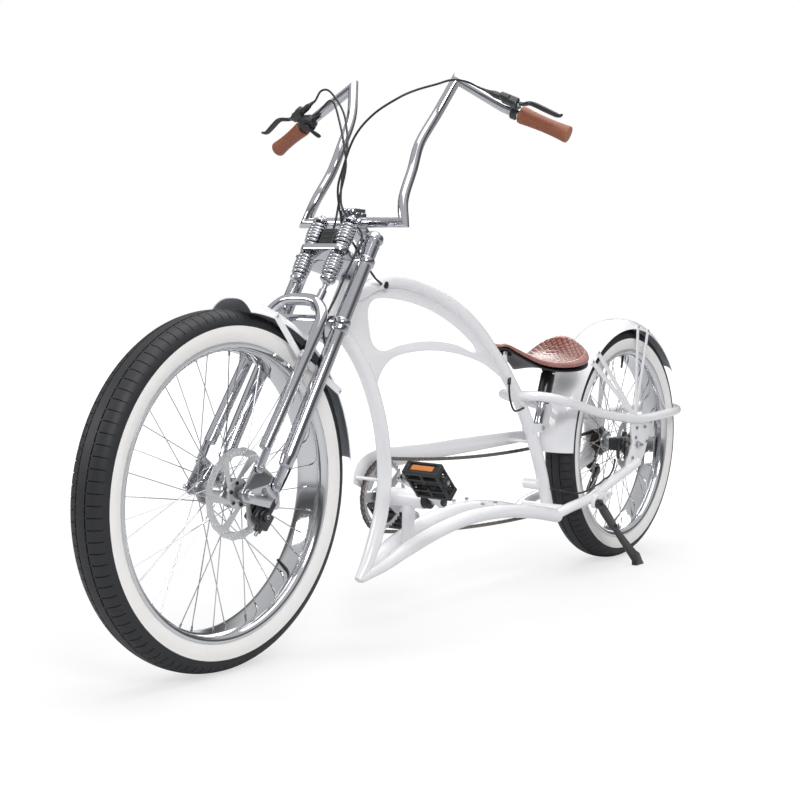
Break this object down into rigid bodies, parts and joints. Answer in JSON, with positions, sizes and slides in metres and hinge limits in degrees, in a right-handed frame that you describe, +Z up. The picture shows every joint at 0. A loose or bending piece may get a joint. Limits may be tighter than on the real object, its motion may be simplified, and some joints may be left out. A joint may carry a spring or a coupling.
{
  "type": "stretch cruiser bicycle",
  "caption": "Long low cruiser bicycle with a sprung double fork, swept tube frame, wide tyres, chain drive, disc brakes, fenders and a sprung saddle",
  "frame": {"origin": "centre of the bounding box's base, on the ground plane that both tyres and the kickstand's foot touch", "axes": "+X forward towards the front wheel, +Y to the rider's left, +Z up"},
  "size_m": [2.3487, 0.8374, 1.2118],
  "materials": {
    "alloy": "satin",
    "black_paint": "satin",
    "black_plastic": "satin",
    "black_rubber": "matte",
    "brown_grip": "matte",
    "brown_leather": "satin",
    "chrome": "polished",
    "dark_steel": "satin",
    "steel": "satin",
    "white_paint": "gloss"
  },
  "bodies": {
    "frame": {"frame": "white_paint", "rear_fender": "white_paint", "chain_guard": "white_paint", "stand_bracket": "white_paint", "rear_caliper": "black_paint", "rear_cable_run": "black_rubber", "rear_axle": "steel", "chain": "dark_steel", "derailleur": "black_paint"},
    "steering": {"steerer": "chrome", "upper_crown": "chrome", "fork_leg_left": "chrome", "fork_leg_right": "chrome", "stem": "chrome", "handlebar": "chrome", "grip_left": "brown_grip", "grip_right": "brown_grip", "brake_body_left": "black_paint", "brake_body_right": "black_paint", "shifter": "black_plastic", "yoke_cover": "black_plastic", "rear_brake_cable": "black_rubber", "shift_cable": "black_rubber", "front_brake_cable": "black_rubber"},
    "springer": {"front_legs": "chrome", "front_fender": "white_paint", "upper_spring_left": "chrome", "upper_spring_right": "chrome", "lower_spring_left": "chrome", "lower_spring_right": "chrome"},
    "rocker": {"rocker_left": "chrome", "rocker_right": "chrome", "front_axle": "steel", "front_caliper": "black_paint"},
    "front_wheel": {"front_wheel": "chrome", "front_tyre": "black_rubber", "front_rotor": "steel"},
    "rear_wheel": {"rear_wheel": "chrome", "rear_tyre": "black_rubber", "rear_rotor": "steel"},
    "cassette": {"cassette": "dark_steel"},
    "crank": {"crank_spindle": "steel", "crank_arm_left": "alloy", "crank_arm_right": "alloy", "chainring": "alloy", "pedal_axle_left": "steel", "pedal_axle_right": "steel"},
    "pedal_left": {"pedal_left": "black_plastic"},
    "pedal_right": {"pedal_right": "black_plastic"},
    "jockey_upper": {"jockey_upper": "black_plastic"},
    "jockey_lower": {"jockey_lower": "black_plastic"},
    "kickstand": {"kickstand": "black_paint"},
    "brake_lever_left": {"brake_lever_left": "black_paint"},
    "brake_lever_right": {"brake_lever_right": "black_paint"},
    "shift_lever": {"shift_lever": "black_plastic"},
    "saddle": {"saddle_pan": "black_plastic", "saddle_pad": "brown_leather"},
    "strut_shaft": {"strut_shaft": "chrome"},
    "strut_body": {"strut_body": "black_paint"}
  },
  "joints": [
    {"name": "steer", "type": "hinge", "parent": "frame", "child": "steering", "pos_m": [0.4184, 0, 0.773], "axis": [-0.521, 0, 0.8536], "range_deg": [-40, 40], "deforming": ["rear_brake_cable", "shift_cable"]},
    {"name": "rocker_pivot", "type": "hinge", "parent": "steering", "child": "rocker", "pos_m": [0.74308, 0, 0.36194], "axis": [0, 1, 0], "range_deg": [-7, 2], "stiffness_Nm_per_rad": 300, "deforming": ["front_brake_cable"]},
    {"name": "springer_slide", "type": "slide", "parent": "steering", "child": "springer", "axis": [-0.521, 0, 0.8536], "range_m": [-0.003, 0.009], "deforming": ["upper_spring_left", "upper_spring_right", "lower_spring_left", "lower_spring_right"]},
    {"name": "front_wheel_spin", "type": "hinge", "parent": "rocker", "child": "front_wheel", "pos_m": [0.8224, 0, 0.352], "axis": [0, 1, 0], "continuous": true},
    {"name": "rear_wheel_spin", "type": "hinge", "parent": "frame", "child": "rear_wheel", "pos_m": [-0.7966, 0, 0.3253], "axis": [0, 1, 0], "continuous": true},
    {"name": "cassette_spin", "type": "hinge", "parent": "frame", "child": "cassette", "pos_m": [-0.7966, 0, 0.3253], "axis": [0, 1, 0], "continuous": true},
    {"name": "crank_spin", "type": "hinge", "parent": "frame", "child": "crank", "pos_m": [0.1904, 0, 0.271], "axis": [0, 1, 0], "continuous": true},
    {"name": "pedal_left_spin", "type": "hinge", "parent": "crank", "child": "pedal_left", "pos_m": [0.3451, 0, 0.3415], "axis": [0, 1, 0], "continuous": true},
    {"name": "pedal_right_spin", "type": "hinge", "parent": "crank", "child": "pedal_right", "pos_m": [0.0357, 0, 0.2005], "axis": [0, 1, 0], "continuous": true},
    {"name": "jockey_upper_spin", "type": "hinge", "parent": "frame", "child": "jockey_upper", "pos_m": [-0.8176, 0, 0.24], "axis": [0, 1, 0], "continuous": true},
    {"name": "jockey_lower_spin", "type": "hinge", "parent": "frame", "child": "jockey_lower", "pos_m": [-0.7776, 0, 0.185], "axis": [0, 1, 0], "continuous": true},
    {"name": "kickstand_fold", "type": "hinge", "parent": "frame", "child": "kickstand", "pos_m": [-0.5226, 0, 0.19], "axis": [0, 1, 0], "range_deg": [0, 55]},
    {"name": "brake_lever_left_pull", "type": "hinge", "parent": "steering", "child": "brake_lever_left", "pos_m": [0.2558, 0.3077, 1.1376], "axis": [-0.6126, 0.1759, 0.7705], "range_deg": [0, 12], "stiffness_Nm_per_rad": 3},
    {"name": "brake_lever_right_pull", "type": "hinge", "parent": "steering", "child": "brake_lever_right", "pos_m": [0.2558, -0.3077, 1.1376], "axis": [0.6126, 0.1759, -0.7705], "range_deg": [0, 12], "stiffness_Nm_per_rad": 3},
    {"name": "shift_lever_push", "type": "hinge", "parent": "steering", "child": "shift_lever", "pos_m": [0.2686, -0.2558, 1.1138], "axis": [-0.6126, -0.1759, 0.7705], "range_deg": [0, 20], "stiffness_Nm_per_rad": 0.5},
    {"name": "saddle_tilt", "type": "hinge", "parent": "frame", "child": "saddle", "pos_m": [-0.1896, 0, 0.594], "axis": [0, 1, 0], "range_deg": [-5.5, 0], "stiffness_Nm_per_rad": 900},
    {"name": "strut_swing", "type": "hinge", "parent": "frame", "child": "strut_shaft", "pos_m": [-0.3756, 0, 0.395], "axis": [0, 1, 0], "range_deg": [-1.5, 0.5]},
    {"name": "strut_slide", "type": "slide", "parent": "strut_shaft", "child": "strut_body", "axis": [-0.3275, 0, 0.9448], "range_m": [-0.026, 0.001]}
  ],
  "couplings": [
    {"joint": "springer_slide", "follows": "rocker_pivot", "m_per_rad": -0.0631},
    {"joint": "cassette_spin", "follows": "crank_spin", "ratio": 3},
    {"joint": "jockey_upper_spin", "follows": "crank_spin", "ratio": -3.8182},
    {"joint": "jockey_lower_spin", "follows": "crank_spin", "ratio": 3.8182},
    {"joint": "strut_swing", "follows": "saddle_tilt", "ratio": 0.1993},
    {"joint": "strut_slide", "follows": "saddle_tilt", "m_per_rad": 0.2409}
  ]
}
